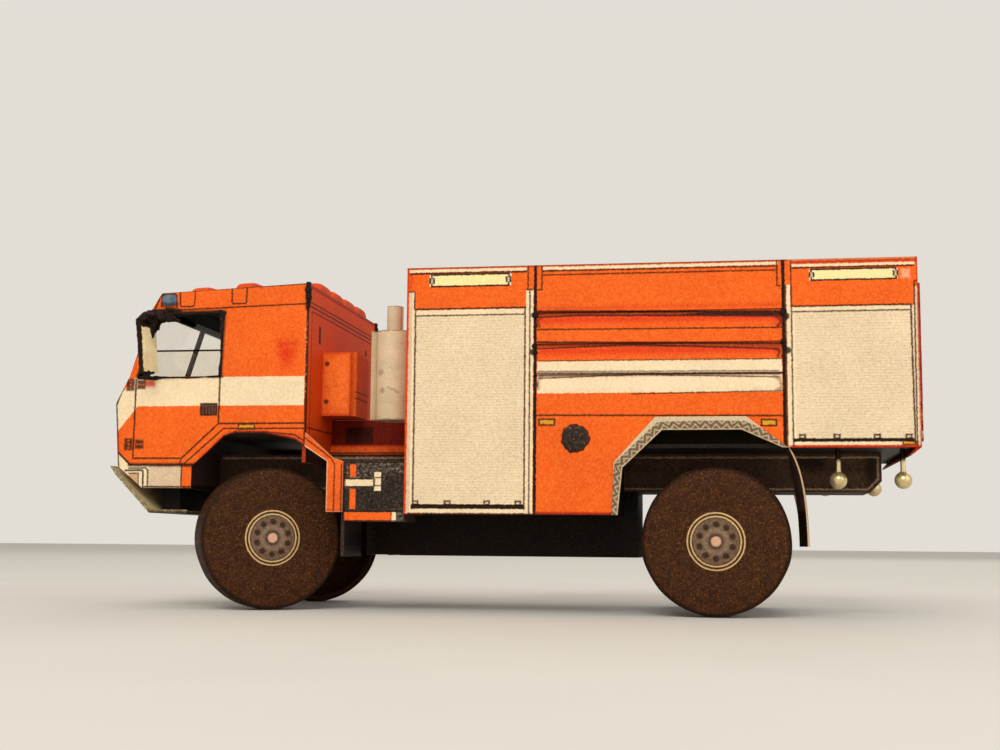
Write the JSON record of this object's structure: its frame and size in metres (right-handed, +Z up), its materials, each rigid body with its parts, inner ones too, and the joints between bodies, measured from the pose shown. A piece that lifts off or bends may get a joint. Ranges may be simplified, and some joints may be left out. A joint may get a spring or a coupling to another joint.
{
  "type": "card model of a four-wheel-drive water tanker fire truck",
  "caption": "Small hand-made card model of a tanker fire truck, with rolling wheels and front wheels that steer.",
  "frame": {"origin": "on the ground, midway between bumper and tail lamps, on the truck's centre line", "axes": "+X to the rear of the truck, +Y to its right side, +Z up"},
  "size_m": [0.0864, 0.0356, 0.0367],
  "materials": {
    "body_card": "printed orange card, matt",
    "trim_card": "printed tread plate",
    "chassis_card": "printed dark grey card",
    "flap_card": "dark card",
    "steel_pin": "plated pin",
    "bumper_card": "pale card",
    "pipe_paper": "white paper",
    "black_card": "black inked card",
    "axle_card": "dark card",
    "tyre_paper": "printed black paper",
    "hub_paper": "printed grey paper",
    "steel_wire": "plain wire",
    "mirror_card": "pale card with black edge",
    "window_film": "clear film",
    "lamp_card": "printed red and yellow card"
  },
  "bodies": {
    "truck": {"air_box": "body_card", "arch_trims": "trim_card", "belly_box": "chassis_card", "belly_hangers": "chassis_card", "body_floor": "flap_card", "body_front_wall": "body_card", "body_pins": "steel_pin", "body_rear_wall": "body_card", "body_roof": "body_card", "body_side_left": "body_card", "body_side_right": "body_card", "bumper": "bumper_card", "bumper_valance": "flap_card", "cab_floor": "flap_card", "cab_front": "body_card", "cab_rear_wall": "body_card", "cab_roof": "body_card", "cab_side_left": "body_card", "cab_side_right": "body_card", "chassis_frame": "chassis_card", "exhaust_pipe": "pipe_paper", "filler_caps": "black_card", "front_axle": "axle_card", "front_axle_saddle": "axle_card", "front_fender_left": "body_card", "front_fender_right": "body_card", "front_mudflaps": "flap_card", "king_pins": "steel_wire", "locker_boxes": "flap_card", "mirrors": "mirror_card", "pump_cover": "body_card", "rear_axle": "axle_card", "rear_axle_saddle": "axle_card", "rear_deck": "body_card", "rear_flap": "body_card", "rear_mudflaps": "flap_card", "roof_ribs": "body_card", "side_window_films": "window_film", "silencer": "pipe_paper", "step_box_left": "body_card", "step_box_right": "body_card", "tail_lamps": "lamp_card", "windscreen_film": "window_film"},
    "knuckle_left": {"knuckle_left": "axle_card"},
    "front_left_wheel": {"front_left_tyre": "tyre_paper", "front_left_wheel": "hub_paper"},
    "rear_left_wheel": {"rear_left_tyre": "tyre_paper", "rear_left_wheel": "hub_paper"},
    "knuckle_right": {"knuckle_right": "axle_card"},
    "front_right_wheel": {"front_right_tyre": "tyre_paper", "front_right_wheel": "hub_paper"},
    "rear_right_wheel": {"rear_right_tyre": "tyre_paper", "rear_right_wheel": "hub_paper"}
  },
  "joints": [
    {"name": "steer_left", "type": "hinge", "parent": "truck", "child": "knuckle_left", "pos_m": [-0.02685, -0.01005, 0.0077], "axis": [0, 0, 1], "range_deg": [-60, 0]},
    {"name": "front_left_spin", "type": "hinge", "parent": "knuckle_left", "child": "front_left_wheel", "pos_m": [-0.02585, -0.01178, 0.0077], "axis": [-0.5, 0.866, 0], "continuous": true},
    {"name": "rear_left_spin", "type": "hinge", "parent": "truck", "child": "rear_left_wheel", "pos_m": [0.0225, -0.01205, 0.0077], "axis": [0, 1, 0], "continuous": true},
    {"name": "steer_right", "type": "hinge", "parent": "truck", "child": "knuckle_right", "pos_m": [-0.02685, 0.01005, 0.0077], "axis": [0, 0, 1], "range_deg": [-54, 6]},
    {"name": "front_right_spin", "type": "hinge", "parent": "knuckle_right", "child": "front_right_wheel", "pos_m": [-0.02766, 0.01188, 0.0077], "axis": [-0.4067, 0.9135, 0], "continuous": true},
    {"name": "rear_right_spin", "type": "hinge", "parent": "truck", "child": "rear_right_wheel", "pos_m": [0.0225, 0.01205, 0.0077], "axis": [0, 1, 0], "continuous": true}
  ]
}
